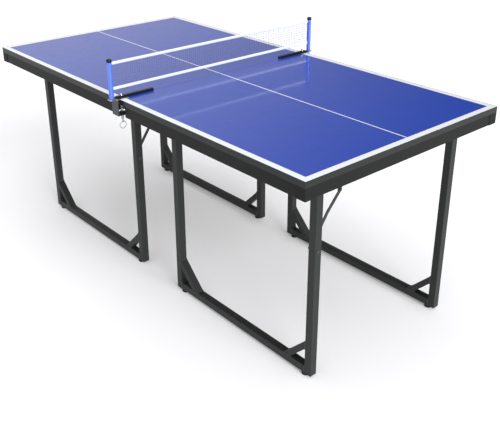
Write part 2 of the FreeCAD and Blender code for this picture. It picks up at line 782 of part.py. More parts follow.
# ---- build every node -----------------------------------------------------------
shifts = {"left": -half_pitch, "right": 0.0}
leg_brackets, brace_brackets, pivot_bolts, brace_pins, screw_places = [], [], [], [], []
for side, sign in sides.items():
    for half, shift in shifts.items():
        move = along_x * shift
        for leg_low, way in frame_legs(side):
            bracket, places = leg_bracket(leg_low, way, sign)
            leg_brackets.append(bracket.translated(move))
            pivot_bolts.append(pivot_bolt(leg_low, way, sign).translated(move))
            screw_places += [place + move for place in places]
        bracket, places = brace_bracket(side, sign)
        brace_brackets.append(bracket.translated(move))
        brace_pins.append(brace_pin(side, sign).translated(move))
        screw_places += [place + move for place in places]
        leg_frame(side, sign, shift, side + "_" + half)

screw_clearance = Part.makeCompound([
    rod(screw_hole_radius, place - along_z * (bracket_thick + 1), place + along_z) for place in screw_places])
save("leg_brackets", [bracket.cut(screw_clearance) for bracket in leg_brackets])
save("brace_brackets", [bracket.cut(screw_clearance) for bracket in brace_brackets])
save("bracket_screws", [screw(place) for place in screw_places])
save("pivot_bolts", pivot_bolts)
save("brace_pins", brace_pins)

for half, way in halves.items():
    save(half + "_panel", [panel(way, screw_places)])
ways = list(halves.values())
signs = list(sides.values())
corners = [(way, sign) for way in ways for sign in signs]
save("edge_strips", [strip for way in ways for strip in edge_strips(way)])
save("side_rails", [rail for way in ways for rail in side_rails(way)])
save("end_rails", [end_rail(way) for way in ways])
save("middle_rails", [middle_rail(way) for way in ways])
save("rail_caps", [rail_cap(way, sign) for way, sign in corners])
save("corner_guards", [corner_guard(way, sign) for way, sign in corners])
save("hinge_leaves", [hinge_leaf(way, sign) for way, sign in corners])
save("hinge_pins", [hinge_pin(sign) for sign in signs])
save("hinge_rivets", [hinge_rivet(p) for way, sign in corners for p in hinge_screw_places(way, sign)])

save("clamp_bodies", [clamp_body(sign) for sign in signs])
save("clamp_arms", [clamp_arm(sign) for sign in signs])
save("clamp_bolts", [clamp_bolt(sign) for sign in signs])
save("net_posts", [net_post(sign) for sign in signs])
save("post_caps", [post_cap(sign) for sign in signs])
for side, sign in sides.items():
    save(side + "_clamp_pad", [clamp_pad(sign)])
    save(side + "_clamp_screw", [clamp_screw(sign)])
    save(side + "_pull_ring", [pull_ring(sign)])

mesh_low = bottom_tape_above + bottom_tape_height
save("net_mesh", [net_band(mesh_low, top_tape_above - mesh_low, net_thick)])
save("top_tape", [net_band(top_tape_above, top_tape_height, tape_thick)])
save("bottom_tape", [net_band(bottom_tape_above, bottom_tape_height, tape_thick)])
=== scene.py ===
import json
import math
import bmesh
import bpy
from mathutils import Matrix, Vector


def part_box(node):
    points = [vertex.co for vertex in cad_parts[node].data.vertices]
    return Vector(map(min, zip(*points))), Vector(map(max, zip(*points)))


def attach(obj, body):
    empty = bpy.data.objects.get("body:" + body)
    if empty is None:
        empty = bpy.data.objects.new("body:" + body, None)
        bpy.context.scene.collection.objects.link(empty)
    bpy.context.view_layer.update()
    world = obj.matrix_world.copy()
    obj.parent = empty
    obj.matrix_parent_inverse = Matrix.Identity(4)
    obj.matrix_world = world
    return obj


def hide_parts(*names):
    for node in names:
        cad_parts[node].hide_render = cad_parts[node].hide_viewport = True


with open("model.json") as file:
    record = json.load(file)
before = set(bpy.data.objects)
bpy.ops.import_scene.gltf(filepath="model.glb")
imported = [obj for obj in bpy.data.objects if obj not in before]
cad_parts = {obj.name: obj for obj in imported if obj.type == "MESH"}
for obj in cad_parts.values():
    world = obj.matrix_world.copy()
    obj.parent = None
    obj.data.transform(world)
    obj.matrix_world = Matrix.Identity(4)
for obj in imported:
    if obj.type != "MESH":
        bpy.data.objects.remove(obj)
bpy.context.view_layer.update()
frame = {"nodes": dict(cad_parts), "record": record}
print("frame loaded:", len(frame["nodes"]), "parts")


# every shader and every grown piece is written with the three classes below

class Field:
    # one output socket, so that a sum on it reads as a plain expression

    def __init__(self, graph, socket):
        self.graph = graph
        self.socket = socket

    def math(self, operation, other=None):
        values = {0: self} if other is None else {0: self, 1: other}
        return self.graph.node("ShaderNodeMath", {"operation": operation}, values)

    def reflected(self, operation, first):
        return self.graph.node("ShaderNodeMath", {"operation": operation}, {0: first, 1: self})

    def __add__(self, other):
        return self.math("ADD", other)

    def __radd__(self, other):
        return self.reflected("ADD", other)

    def __sub__(self, other):
        return self.math("SUBTRACT", other)

    def __rsub__(self, other):
        return self.reflected("SUBTRACT", other)

    def __mul__(self, other):
        return self.math("MULTIPLY", other)

    def __rmul__(self, other):
        return self.reflected("MULTIPLY", other)

    def __abs__(self):
        return self.math("ABSOLUTE")

    def larger(self, other):
        return self.math("MAXIMUM", other)

    def rise(self, low, high):
        # 0 below low, 1 above high, and a soft step between them
        return self.graph.node(
            "ShaderNodeMapRange", {"interpolation_type": "SMOOTHSTEP"},
            {"Value": self, "From Min": low, "From Max": high})


class Graph:
    # a node tree with one way of adding a node

    def __init__(self, tree):
        self.tree = tree

    def node(self, kind, settings=None, values=None, out=0):
        made = self.tree.nodes.new(kind)
        for key, value in (settings or {}).items():
            setattr(made, key, value)
        for key, value in (values or {}).items():
            for single in value if isinstance(value, list) else [value]:
                if isinstance(single, Field):
                    self.tree.links.new(single.socket, made.inputs[key])
                else:
                    made.inputs[key].default_value = single
        return Field(self, made.outputs[out]) if len(made.outputs) else None

    def axes(self, vector):
        split = self.node("ShaderNodeSeparateXYZ", values={"Vector": vector})
        return [Field(self, socket) for socket in split.socket.node.outputs]

    def vector(self, x=0.0, y=0.0, z=0.0):
        return self.node("ShaderNodeCombineXYZ", values={"X": x, "Y": y, "Z": z})


def tint(red, green, blue):
    # a colour off a paint swatch, 0 to 255, as the linear colour that a socket takes
    parts = [value / 255 for value in (red, green, blue)]
    parts = [part / 12.92 if part <= 0.04045 else ((part + 0.055) / 1.055) ** 2.4 for part in parts]
    return (*parts, 1.0)


class Finish(Graph):
    # one material: what is the same all over is set on the shader, what varies is linked to it

    def __init__(self, name, **constants):
        self.material = bpy.data.materials.new(name)
        self.material.use_nodes = True
        super().__init__(self.material.node_tree)
        self.shader = self.tree.nodes["Principled BSDF"]
        for key, value in constants.items():
            self.shader.inputs[key.replace("_", " ")].default_value = value
        self.place = self.node("ShaderNodeTexCoord", out="Object")
        self.x, self.y, self.z = self.axes(self.place)

    def stretched(self, scale):
        return self.node("ShaderNodeMapping", values={"Vector": self.place, "Scale": scale})

    def grain(self, scale, detail=2.0, rough=0.5, at=None):
        return self.node("ShaderNodeTexNoise", values={
            "Vector": at or self.place, "Scale": scale, "Detail": detail, "Roughness": rough})

    def cells(self, scale, feature="F1"):
        return self.node("ShaderNodeTexVoronoi", {"feature": feature},
                         {"Scale": scale, "Vector": self.place}, "Distance")

    def blend(self, first, second, factor):
        return self.node("ShaderNodeMix", {"data_type": "RGBA"}, {0: factor, 6: first, 7: second}, 2)

    def colour(self, field):
        self.tree.links.new(field.socket, self.shader.inputs["Base Color"])

    def varies(self, name, field):
        self.tree.links.new(field.socket, self.shader.inputs[name])

    def relief(self, height, depth):
        bump = self.node("ShaderNodeBump", values={"Height": height, "Distance": depth, "Strength": 1.0})
        self.varies("Normal", bump)


# sizes that several pieces share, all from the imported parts

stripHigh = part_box("edge_strips")[1]
topTapeLow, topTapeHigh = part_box("top_tape")
bottomTapeLow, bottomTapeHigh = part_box("bottom_tape")
netLow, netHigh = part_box("net_mesh")
surfaceHeight = stripHigh.z


playingTop = {
    "blue": tint(27, 64, 171),
    "blueWorn": tint(34, 69, 173),
    "line": tint(236, 239, 243),
    "borderWidth": 0.024,
    "centreWidth": 0.0044,
    "seamBreak": 0.0016,
    "edgeSoftness": 0.0004,
    "lacquerDepth": 0.0012,  # how far down from the top face the lacquer goes
    "clearCoat": 0.7,
    "glossRoughness": 0.27,
    "hazeScale": 3.5,
    "rubScale": 26.0,
    "peelScale": 170.0,
    "peelDepth": 0.00004,
    "board": tint(48, 45, 42),
    "boardFibre": tint(78, 73, 66),
    "boardRoughness": 0.86,
    "fibreScale": 420.0,
}


def paintPlayingTop():
    look = playingTop
    top = Finish("BlueLacquerTop", Coat_Roughness=0.07, Coat_IOR=1.5)
    soft = look["edgeSoftness"]
    endLine = stripHigh.x - look["borderWidth"]
    sideLine = stripHigh.y - look["borderWidth"]
    acrossEnd = abs(top.x).rise(endLine, endLine + soft)
    acrossSide = abs(top.y).rise(sideLine, sideLine + soft)
    centre = 1 - abs(top.y).rise(look["centreWidth"] / 2, look["centreWidth"] / 2 + soft)
    centre = centre * abs(top.x).rise(look["seamBreak"], look["seamBreak"] + soft)
    lines = acrossEnd.larger(acrossSide).larger(centre)
    lacquerEnd = surfaceHeight - look["lacquerDepth"]
    lacquered = top.z.rise(lacquerEnd - soft, lacquerEnd)
    haze = top.grain(look["hazeScale"], 3.0)
    rub = top.grain(look["rubScale"], 4.0, 0.62).rise(0.5, 0.72)
    blue = top.blend(look["blue"], look["blueWorn"], haze)
    paint = top.blend(blue, look["line"], lines)
    fibre = top.grain(look["fibreScale"], 5.0, 0.7, top.stretched((1.0, 0.35, 1.0)))
    board = top.blend(look["board"], look["boardFibre"], fibre.rise(0.35, 0.68))
    top.colour(top.blend(board, paint, lacquered))
    # brush-fine handling marks make the gloss uneven, and the board under it is dull
    gloss = look["glossRoughness"] + haze * 0.05 + rub * 0.06 + lines * 0.05
    dull = look["boardRoughness"]
    top.varies("Roughness", dull - (dull - gloss) * lacquered)
    top.varies("Coat Weight", lacquered * look["clearCoat"])
    peel = top.grain(look["peelScale"], 1.5) * lacquered + fibre * (1 - lacquered)
    top.relief(peel + lines * 0.5, look["peelDepth"])
    return top.material


powderCoat = {
    "railDark": tint(11, 12, 12),
    "railLight": tint(19, 20, 20),
    "legDark": tint(31, 33, 32),
    "legLight": tint(38, 40, 39),
    "scuff": tint(96, 96, 93),
    "scuffHeight": 0.14,
    "scuffScale": 75.0,
    "railRoughness": 0.46,
    "legRoughness": 0.4,
    "railGloss": 0.22,
    "legGloss": 0.3,
    "cloudScale": 5.0,
    "peelScale": 620.0,
    "peelDepth": 0.00006,
}


def paintPowderCoat(name, use):
    look = powderCoat
    coat = Finish(name, Specular_IOR_Level=look[use + "Gloss"])
    cloud = coat.grain(look["cloudScale"], 3.0)
    base = coat.blend(look[use + "Dark"], look[use + "Light"], cloud)
    speck = coat.cells(look["peelScale"])
    rough = cloud * 0.1 + speck * 0.08 + look[use + "Roughness"]
    if use == "leg":
        # feet and floor rails are knocked and dusty near the ground
        low = 1 - coat.z.rise(0.0, look["scuffHeight"])
        marks = coat.grain(look["scuffScale"], 6.0, 0.7, coat.stretched((0.35, 1.0, 1.0)))
        marks = marks.rise(0.6, 0.72) * low
        base = coat.blend(base, look["scuff"], marks * 0.5)
        rough = rough + marks * 0.2
    coat.colour(base)
    coat.varies("Roughness", rough)
    peel = coat.grain(look["peelScale"], 2.0, 0.6)
    coat.relief(peel + speck * 0.5, look["peelDepth"])
    return coat.material


edgeBand = {
    "dark": tint(20, 22, 22),
    "light": tint(31, 33, 33),
    "roughness": 0.34,
    "drawScale": 60.0,
    "ribScale": 900.0,
    "grainScale": 500.0,
    "ribDepth": 0.00003,
}


def paintEdgeBand():
    look = edgeBand
    band = Finish("SatinEdgeBand", Specular_IOR_Level=0.3)
    # faint lengthwise draw lines
    run = band.grain(look["drawScale"], 3.0, 0.6, band.stretched((0.06, 0.06, 1.0)))
    band.colour(band.blend(look["dark"], look["light"], run))
    band.varies("Roughness", look["roughness"] + run * 0.12)
    lines = band.grain(look["ribScale"], 1.0, 0.5, band.stretched((0.02, 0.02, 1.0)))
    band.relief(lines + band.grain(look["grainScale"]) * 0.6, look["ribDepth"])
    return band.material


mouldedPlastic = {
    "guardDark": tint(8, 9, 9),
    "guardLight": tint(17, 18, 18),
    "guardRoughness": 0.5,
    "pebbleScale": 780.0,
    "pebbleDepth": 0.00016,
    "smoothDark": tint(8, 9, 10),
    "smoothLight": tint(17, 18, 19),
    "smoothRoughness": 0.22,
    "flowScale": 40.0,
    "speckScale": 900.0,
    "speckDepth": 0.00003,
}


def paintPebbledPlastic():
    look = mouldedPlastic
    guard = Finish("PebbledCornerPlastic", Specular_IOR_Level=0.25)
    pebble = guard.cells(look["pebbleScale"], "SMOOTH_F1")
    guard.colour(guard.blend(look["guardLight"], look["guardDark"], pebble.rise(0.1, 0.6)))
    guard.varies("Roughness", look["guardRoughness"] + pebble * 0.25)
    guard.relief(1 - pebble, look["pebbleDepth"])
    return guard.material


def paintSmoothPlastic():
    look = mouldedPlastic
    plastic = Finish("MouldedBlackPlastic", Specular_IOR_Level=0.35)
    flow = plastic.grain(look["flowScale"], 3.0)
    plastic.colour(plastic.blend(look["smoothDark"], look["smoothLight"], flow))
    plastic.varies("Roughness", look["smoothRoughness"] + flow * 0.14)
    plastic.relief(plastic.grain(look["speckScale"], 2.0), look["speckDepth"])
    return plastic.material


footRubber = {
    "clean": tint(24, 24, 25),
    "dusty": tint(88, 86, 82),
    "dustHeight": 0.008,
    "dustScale": 260.0,
    "roughness": 0.62,
    "grainScale": 1100.0,
    "grainDepth": 0.00008,
}


def paintFootRubber():
    look = footRubber
    rubber = Finish("FootRubber", Specular_IOR_Level=0.3)
    dust = rubber.grain(look["dustScale"], 5.0, 0.65).rise(0.42, 0.7)
    dust = dust * (1 - rubber.z.rise(0.0, look["dustHeight"]))
    rubber.colour(rubber.blend(look["clean"], look["dusty"], dust * 0.6))
    rubber.varies("Roughness", look["roughness"] + dust * 0.3)
    rubber.relief(rubber.grain(look["grainScale"], 3.0), look["grainDepth"])
    return rubber.material


bareMetal = {
    "zincDark": tint(138, 140, 144),
    "zincLight": tint(172, 174, 177),
    "zincRoughness": 0.3,
    "spangleScale": 420.0,
    "spangleDepth": 0.000015,
    "clouding": 160.0,
    "chrome": tint(214, 216, 220),
    "chromeDull": tint(164, 166, 172),
    "chromeRoughness": 0.14,
    "smearScale": 210.0,
    "brushScale": 700.0,
    "brushDepth": 0.00003,
}


def paintZinc():
    look = bareMetal
    zinc = Finish("ZincPlatedSteel", Metallic=1.0)
    spangle = zinc.cells(look["spangleScale"])
    zinc.colour(zinc.blend(look["zincDark"], look["zincLight"], spangle.rise(0.1, 0.7)))
    zinc.varies("Roughness", look["zincRoughness"] + zinc.grain(look["clouding"], 3.0) * 0.2)
    zinc.relief(spangle, look["spangleDepth"])
    return zinc.material


def paintBrightMetal():
    look = bareMetal
    bright = Finish("NickelPlatedSteel", Metallic=1.0)
    smear = bright.grain(look["smearScale"], 4.0, 0.6)
    bright.colour(bright.blend(look["chrome"], look["chromeDull"], smear.rise(0.35, 0.75)))
    bright.varies("Roughness", look["chromeRoughness"] + smear * 0.18)
    bright.relief(bright.grain(look["brushScale"], 2.0), look["brushDepth"])
    return bright.material


braceBar = {
    "dark": tint(34, 35, 36),
    "light": tint(56, 57, 58),
    "rubbed": tint(120, 121, 123),
    "roughness": 0.34,
    "millScale": 34.0,
    "rubScale": 190.0,
    "pitScale": 520.0,
    "pitDepth": 0.00007,
}


def paintBraceBar():
    look = braceBar
    bar = Finish("RolledBraceBar", Metallic=0.25)
    mill = bar.grain(look["millScale"], 4.0, 0.62)
    # small bright rubs where the arms slide past each other
    rubbed = bar.grain(look["rubScale"], 5.0, 0.7).rise(0.66, 0.78)
    bar.colour(bar.blend(bar.blend(look["dark"], look["light"], mill), look["rubbed"], rubbed * 0.5))
    bar.varies("Roughness", look["roughness"] + mill * 0.16)
    bar.relief(bar.grain(look["pitScale"], 3.0), look["pitDepth"])
    return bar.material


clampSteel = {
    "dark": tint(38, 39, 41),
    "light": tint(62, 63, 66),
    "chipsAndEdgeGlint": tint(205, 206, 210),
    "edgeLow": 0.00015,   # the top flange's edge band, above the table top, which is painted bright as a highlight
    "edgeHigh": 0.00285,
    "edgeSoftLow": 0.0002,
    "edgeSoftHigh": 0.0001,
    "roughness": 0.36,
    "mottleScale": 90.0,
    "chipScale": 330.0,
    "grainScale": 640.0,
    "chipDepth": 0.00006,
}


def paintClampSteel():
    look = clampSteel
    clamp = Finish("ClampSteel")
    mottle = clamp.grain(look["mottleScale"], 4.0, 0.6)
    # painted highlight: the flange's edge is coloured as bright unpainted steel, so that it shows as a light
    # strip; the small chips beside it are real wear
    low = surfaceHeight + look["edgeLow"]
    high = surfaceHeight + look["edgeHigh"]
    edgeGlint = clamp.z.rise(low - look["edgeSoftLow"], low)
    edgeGlint = edgeGlint * (1 - clamp.z.rise(high, high + look["edgeSoftHigh"]))
    chips = clamp.grain(look["chipScale"], 4.0, 0.7).rise(0.66, 0.72)
    chipsAndEdgeGlint = edgeGlint.larger(chips * 0.6)
    clamp.colour(clamp.blend(clamp.blend(look["dark"], look["light"], mottle), look["chipsAndEdgeGlint"], chipsAndEdgeGlint))
    clamp.varies("Metallic", chipsAndEdgeGlint)
    clamp.varies("Roughness", look["roughness"] + mottle * 0.14 - chipsAndEdgeGlint * 0.1)
    clamp.relief(clamp.grain(look["grainScale"], 2.0) - chipsAndEdgeGlint * 0.6, look["chipDepth"])
    return clamp.material


postEnamel = {
    "deep": tint(62, 94, 204),
    "pale": tint(90, 124, 222),
    "roughness": 0.24,
    "highlightStreakScale": 70.0,
    "grainScale": 420.0,
    "grainDepth": 0.00004,
}


def paintPostEnamel():
    look = postEnamel
    enamel = Finish("BluePostEnamel", Coat_Weight=0.5, Coat_Roughness=0.06)
    # painted highlight: pale vertical streaks drawn down the tube
    run = enamel.grain(look["highlightStreakScale"], 3.0, 0.55, enamel.stretched((1.0, 1.0, 0.12)))
    enamel.colour(enamel.blend(look["deep"], look["pale"], run))
    enamel.varies("Roughness", look["roughness"] + run * 0.1)
    enamel.relief(enamel.grain(look["grainScale"], 2.0), look["grainDepth"])
    return enamel.material


netYarn = {
    "pale": tint(126, 128, 160),
    "shade": tint(90, 93, 126),
    "twistPerMetre": 1500.0,
    "twistDepth": 0.00006,
    "fuzzScale": 2400.0,
    "roughness": 0.7,
    "solidity": 0.75,     # a loose yarn lets some light through
}


def paintNetYarn():
    look = netYarn
    yarn = Finish("TwistedNetYarn", Specular_IOR_Level=0.25, Alpha=look["solidity"])
    twist = ((yarn.y + yarn.z + yarn.x * 0.6) * (look["twistPerMetre"] * 2 * math.pi)).math("SINE")
    fuzz = yarn.grain(look["fuzzScale"], 3.0)
    yarn.colour(yarn.blend(look["pale"], look["shade"], twist * 0.25 + 0.3 + fuzz * 0.3))
    yarn.varies("Roughness", look["roughness"] + fuzz * 0.2)
    yarn.relief(twist * 0.5 + fuzz, look["twistDepth"])
    return yarn.material


wovenTape = {
    "thread": tint(232, 237, 235),
    "gap": tint(160, 165, 172),
    "threadsPerMetre": 1250.0,  # a 0.8 mm plain weave
    "weaveDepth": 0.00009,
    "fibreScale": 1900.0,
    "soilScale": 20.0,
    "roughness": 0.72,
}


def paintWovenTape(name, shade=0.0):
    look = wovenTape
    cloth = Finish(name, Specular_IOR_Level=0.25, Sheen_Weight=0.15, Sheen_Roughness=0.5)
    beat = look["threadsPerMetre"] * math.pi
    warp = (cloth.z * beat).math("SINE")
    weft = (cloth.y * beat).math("SINE")
    weave = abs(warp * weft)
    fibre = cloth.grain(look["fibreScale"], 4.0, 0.6)
    soil = cloth.grain(look["soilScale"], 4.0, 0.6).rise(0.5, 0.85)
    # painted shade: the gaps between the threads take a darker colour than the threads; soil and loose fibres
    # darken the cloth a little more
    clean = weave * 0.6 + 0.4 - soil * 0.12 - fibre * 0.1 - shade
    cloth.colour(cloth.blend(look["gap"], look["thread"], clean))
    cloth.varies("Roughness", look["roughness"] + fibre * 0.2)
    cloth.relief(weave + fibre * 0.3, look["weaveDepth"])
    return cloth.material


darkBolt = {
    "dark": tint(52, 53, 55),
    "light": tint(92, 93, 96),
    "roughness": 0.34,
    "mottleScale": 380.0,
    "mottleDepth": 0.00006,
}


def paintDarkBolt():
    look = darkBolt
    bolt = Finish("BlackenedBolt", Metallic=0.8)
    mottle = bolt.grain(look["mottleScale"], 4.0, 0.6)
    bolt.colour(bolt.blend(look["dark"], look["light"], mottle))
    bolt.varies("Roughness", look["roughness"] + mottle * 0.2)
    bolt.relief(mottle, look["mottleDepth"])
    return bolt.material


weldSteel = {
    "dark": tint(34, 35, 35),
    "light": tint(54, 55, 54),
    "roughness": 0.34,
    "blobScale": 300.0,
    "blobDepth": 0.00015,
}


def paintWeld():
    look = weldSteel
    weld = Finish("PaintedWeld")
    blob = weld.grain(look["blobScale"], 4.0, 0.6)
    weld.colour(weld.blend(look["dark"], look["light"], blob))
    weld.varies("Roughness", look["roughness"] + blob * 0.2)
    weld.relief(blob, look["blobDepth"])
    return weld.material


finishes = {
    "playing_surface": paintPlayingTop(),
    "edge_band": paintEdgeBand(),
    "black_steel": paintPowderCoat("CharcoalPowderCoat", "rail"),
    "black_plastic": paintSmoothPlastic(),
    "foot_rubber": paintFootRubber(),
    "zinc_steel": paintZinc(),
    "brace_steel": paintBraceBar(),
    "clamp_steel": paintClampSteel(),
    "bright_metal": paintBrightMetal(),
    "blue_paint": paintPostEnamel(),
    "net_cord": paintNetYarn(),
    "white_tape": paintWovenTape("WovenNetTape"),
}
pebbledPlastic = paintPebbledPlastic()
legCoat = paintPowderCoat("LegPowderCoat", "leg")
weldFinish = paintWeld()
blackenedBolt = paintDarkBolt()
stitchThread = paintWovenTape("StitchThread", shade=0.25)


ownFinishes = {  # parts that look different from the rest of their slot, by the end of their name
    "corner_guards": pebbledPlastic,
    "_legs": legCoat,
    "_floor_rail": legCoat,
    "_gussets": legCoat,
    "_brace_bolt": blackenedBolt,
    "_pull_ring": finishes["zinc_steel"],
}


def dressFrameParts():
    for row in frame["record"]["subparts"]:
        name = row["node"]
        finish = finishes[row["material_slot"]]
        for ending, ownFinish in ownFinishes.items():
            if name.endswith(ending):
                finish = ownFinish
        for slot in frame["nodes"][name].material_slots:
            slot.material = finish


dressFrameParts()


def placePiece(name, mesh, finish, body):
    piece = bpy.data.objects.new(name, mesh)
    bpy.context.scene.collection.objects.link(piece)
    mesh.materials.clear()
    mesh.materials.append(finish)
    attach(piece, body)
    return piece


def loftMesh(name, rings):
    # a closed skin over rings of points, with a cap at each end
    build = bmesh.new()
    rows = [[build.verts.new(point) for point in ring] for ring in rings]
    for lower, upper in zip(rows, rows[1:]):
        for index in range(len(lower)):
            following = (index + 1) % len(lower)
            build.faces.new((lower[index], lower[following], upper[following], upper[index]))
    build.faces.new(rows[0])
    build.faces.new(rows[-1])
    bmesh.ops.recalc_face_normals(build, faces=build.faces)
    for face in build.faces:
        face.smooth = len(face.verts) == 4
    mesh = bpy.data.meshes.new(name)
    build.to_mesh(mesh)
    build.free()
    return mesh


def newGrowth(name, inputs):
    # an empty geometry tree with its named sizes, and its input fields by name
    tree = bpy.data.node_groups.new(name, "GeometryNodeTree")
    tree.interface.new_socket(name="Geometry", in_out="INPUT", socket_type="NodeSocketGeometry")
    for label, kind in inputs.items():
        tree.interface.new_socket(name=label, in_out="INPUT", socket_type="NodeSocket" + kind)
    tree.interface.new_socket(name="Geometry", in_out="OUTPUT", socket_type="NodeSocketGeometry")
    graph = Graph(tree)
    entry = graph.node("NodeGroupInput").socket.node
    fields = {socket.name: Field(graph, socket) for socket in entry.outputs if socket.name}
    return graph, fields


def endGrowth(graph, parts, material):
    joined = graph.node("GeometryNodeJoinGeometry", values={"Geometry": parts})
    real = graph.node("GeometryNodeRealizeInstances", values={"Geometry": joined})
    smooth = graph.node("GeometryNodeSetShadeSmooth", values={"Geometry": real})
    painted = graph.node("GeometryNodeSetMaterial", values={"Geometry": smooth, "Material": material})
    graph.node("NodeGroupOutput", values={"Geometry": painted})
    return graph.tree


def grow(name, tree, sizes, path=None):
    # runs a tree once and gives back the plain mesh
    seedMesh = bpy.data.meshes.new(name + "Path")
    if path:
        points = []
        edges = []
        for run in path:
            edges += [(len(points) + step, len(points) + step + 1) for step in range(len(run) - 1)]
            points += run
        seedMesh.from_pydata(points, edges, [])
    seed = bpy.data.objects.new(name + "Seed", seedMesh)
    bpy.context.scene.collection.objects.link(seed)
    modifier = seed.modifiers.new("grow", "NODES")
    modifier.node_group = tree
    for item in tree.interface.items_tree:
        if item.in_out == "INPUT" and item.name in sizes:
            modifier[item.identifier] = sizes[item.name]
    bpy.context.view_layer.update()
    depsgraph = bpy.context.evaluated_depsgraph_get()
    mesh = bpy.data.meshes.new_from_object(seed.evaluated_get(depsgraph))
    mesh.name = name
    bpy.data.objects.remove(seed)
    return mesh


# the net: open netting, a folded tape above and below it, and stitching

netting = {
    "Pitch": 0.0092,
    "Cord": 0.00036,      # radius of one yarn
    "Knot": 0.00075,
    "Slack": 0.0009,
    "sides": 5,           # of a yarn's section
    "driftScale": 38.0,
    "overlap": 0.003,     # how far the netting is caught inside the tapes
    "statedShare": 0.301,
}


def nettingTree():
    graph, size = newGrowth("NettingTree", {
        "Length": "Float", "Height": "Float", "Base": "Float", "Columns": "Int", "Rows": "Int",
        "Cord": "Float", "Knot": "Float", "Slack": "Float", "Yarn": "Material"})
    halfLength = size["Length"] * 0.5
    top = size["Base"] + size["Height"]

    def loosen(geometry):
        # the same gentle drift everywhere, so that yarns still cross at their knots
        position = graph.node("GeometryNodeInputPosition")
        drift = graph.node("ShaderNodeTexNoise", {"noise_dimensions": "3D"},
                           {"Vector": position, "Scale": netting["driftScale"], "Detail": 2.0}, "Color")
        centred = graph.node("ShaderNodeVectorMath", {"operation": "SUBTRACT"},
                             {0: drift, 1: (0.5, 0.5, 0.5)})
        offset = graph.node("ShaderNodeVectorMath", {"operation": "SCALE"},
                            {0: centred, "Scale": size["Slack"]})
        return graph.node("GeometryNodeSetPosition", values={"Geometry": geometry, "Offset": offset})

    def yarns(start, end, step, first, last, count):
        line = graph.node("GeometryNodeCurvePrimitiveLine", values={"Start": start, "End": end})
        fine = graph.node("GeometryNodeResampleCurve", values={"Curve": line, "Count": step})
        spots = graph.node("GeometryNodeMeshLine", {"mode": "END_POINTS"},
                           {"Count": count, "Start Location": first, "Offset": last})
        laid = graph.node("GeometryNodeInstanceOnPoints", values={"Points": spots, "Instance": fine})
        real = graph.node("GeometryNodeRealizeInstances", values={"Geometry": laid})
        profile = graph.node("GeometryNodeCurvePrimitiveCircle",
                             values={"Resolution": netting["sides"], "Radius": size["Cord"]})
        return graph.node("GeometryNodeCurveToMesh",
                          values={"Curve": loosen(real), "Profile Curve": profile, "Fill Caps": True})

    firstFoot = graph.vector(y=0 - halfLength, z=size["Base"])
    lastFoot = graph.vector(y=halfLength, z=size["Base"])
    upright = yarns((0, 0, 0), graph.vector(z=size["Height"]), size["Rows"], firstFoot, lastFoot,
                    size["Columns"])
    level = yarns(graph.vector(y=0 - halfLength), graph.vector(y=halfLength), size["Columns"],
                  graph.vector(z=size["Base"]), graph.vector(z=top), size["Rows"])
    grid = graph.node("GeometryNodeMeshGrid", values={
        "Size X": size["Height"], "Size Y": size["Length"],
        "Vertices X": size["Rows"], "Vertices Y": size["Columns"]})
    stood = graph.node("GeometryNodeTransform", values={
        "Geometry": grid, "Rotation": (0.0, math.pi / 2, 0.0),
        "Translation": graph.vector(z=size["Base"] + size["Height"] * 0.5)})
    bead = graph.node("GeometryNodeMeshIcoSphere", values={"Radius": size["Knot"], "Subdivisions": 1})
    knots = graph.node("GeometryNodeInstanceOnPoints", values={"Points": loosen(stood), "Instance": bead})
    return endGrowth(graph, [upright, level, knots], size["Yarn"])


def makeNetting():
    look = netting
    length = (netHigh.y - look["Knot"]) * 2
    base = netLow.z - look["overlap"]
    height = netHigh.z - netLow.z + look["overlap"] * 2
    sizes = {
        "Length": length, "Height": height, "Base": base,
        "Columns": round(length / look["Pitch"]) + 1, "Rows": round(height / look["Pitch"]) + 1,
        "Cord": look["Cord"], "Knot": look["Knot"], "Slack": look["Slack"], "Yarn": finishes["net_cord"],
    }
    mesh = grow("netting", nettingTree(), sizes)
    piece = placePiece("netting", mesh, finishes["net_cord"], "table")
    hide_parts("net_mesh")


foldedTape = {
    "wall": 0.0006,
    "foldSteps": 6,
    "stationStep": 0.007,
    "pucker": 0.00016,    # how far the cloth draws in and out between stitches
    "puckerWave": 0.021,
    "bow": 0.0005,        # slow sideways drift of a tape that is pulled tight
    "bowTurns": 5.3,      # radians of that drift in each metre
    "bowStart": 0.4,
    "wallLevels": (0.0, 0.3, 0.6),  # of the height, where the straight walls have points
}


def foldOutline(halfThickness, height):
    # one closed outline of a cloth folded over itself: along the outer face and back along the inner one
    wall, steps = foldedTape["wall"], foldedTape["foldSteps"]

    def side(half, crown):
        arc = [math.pi * index / steps for index in range(steps + 1)]
        bend = [(half * math.cos(angle), crown - half + half * math.sin(angle)) for angle in arc]
        climb = [(half, height * share) for share in foldedTape["wallLevels"]]
        return climb + bend + [(-across, up) for across, up in reversed(climb)]
    return side(halfThickness, height) + list(reversed(side(halfThickness - wall, height - wall)))


def makeFoldedTape(name, low, high, upward, replaced):
    look = foldedTape
    height = high.z - low.z
    thickness = high.x - low.x
    length = high.y - low.y
    outline = foldOutline(thickness / 2, height)
    count = round(length / look["stationStep"])
    rings = []
    for station in range(count + 1):
        along = low.y + length * station / count
        # the drift dies out at the posts, where the tape is held
        sway = math.sin(along * look["bowTurns"] + look["bowStart"]) * math.cos(along * math.pi / length)
        drift = look["bow"] * sway
        draw = 1 + look["pucker"] / thickness * math.sin(along * 2 * math.pi / look["puckerWave"])
        ring = []
        for across, up in outline:
            level = low.z + up if upward else high.z - up
            ring.append(Vector((across * draw + drift, along, level)))
        rings.append(ring)
    piece = placePiece(name, loftMesh(name, rings), finishes["white_tape"], "table")
    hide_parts(replaced)


stitching = {
    "Pitch": 0.0042,
    "Thread": 0.00022,
    "Stitch": 0.0031,
    "inset": 0.0018,      # from a tape's edge to its row of stitches
    "endGap": 0.003,      # from a tape's end to the first stitch
}


